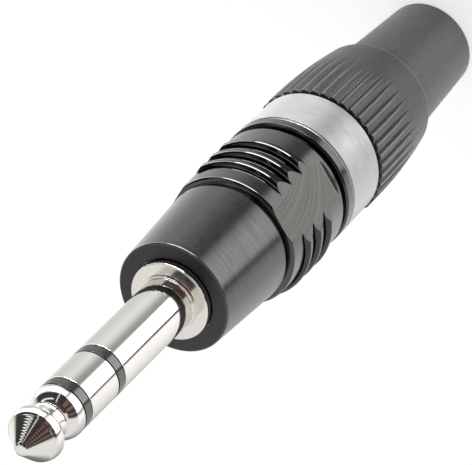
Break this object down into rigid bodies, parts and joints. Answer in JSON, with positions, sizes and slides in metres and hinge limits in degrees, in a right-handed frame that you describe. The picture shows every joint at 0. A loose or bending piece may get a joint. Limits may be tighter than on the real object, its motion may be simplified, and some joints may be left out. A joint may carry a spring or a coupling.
{
  "type": "stereo jack plug",
  "caption": "Slim stereo jack plug: nickel tip, ring and sleeve shaft, ridged black metal housing, silver ring, fluted screw boot and soft cable sleeve.",
  "frame": {"origin": "centre of the cable sleeve's flat rear end, which the plug stands on", "axes": "+Z along the plug's axis towards the tip; the two spanner flats of the housing face -Y and +Y"},
  "size_m": [0.017, 0.0164, 0.0935],
  "materials": {
    "nickel": "polished nickel plate",
    "black_metal": "turned metal, glossy black",
    "silver": "satin silver",
    "spring_steel": "bare",
    "tinned": "tinned",
    "insulator": "black moulding",
    "carrier": "grey moulding",
    "liner": "milky film",
    "chuck": "natural moulding",
    "nut": "grained moulding",
    "sleeve": "soft and smooth"
  },
  "bodies": {
    "boot": {"boot_nut": "nut", "cable_sleeve": "sleeve"},
    "chuck": {"chuck": "chuck"},
    "plug": {"housing": "black_metal", "coding_ring": "silver", "retaining_ring": "spring_steel", "insulating_liner": "liner", "insert_carrier": "carrier", "tip_contact": "nickel", "front_insulator": "insulator", "ring_contact": "nickel", "rear_insulator": "insulator", "sleeve_contact": "nickel", "rod_tube": "insulator", "ring_tube": "insulator", "ground_lug": "tinned", "front_washer": "insulator", "ring_lug": "tinned", "rear_washer": "insulator", "tip_lug": "tinned"}
  },
  "joints": [
    {"name": "unscrew_turn", "type": "hinge", "parent": "boot", "child": "chuck", "pos_m": [0, 0, 0.0212], "axis": [0, 0, 1], "range_deg": [0, 2160]},
    {"name": "unscrew_lift", "type": "slide", "parent": "chuck", "child": "plug", "axis": [0, 0, 1], "range_m": [0, 0.006]}
  ],
  "couplings": [
    {"joint": "unscrew_turn", "follows": "unscrew_lift", "rad_per_m": 6283.2}
  ]
}
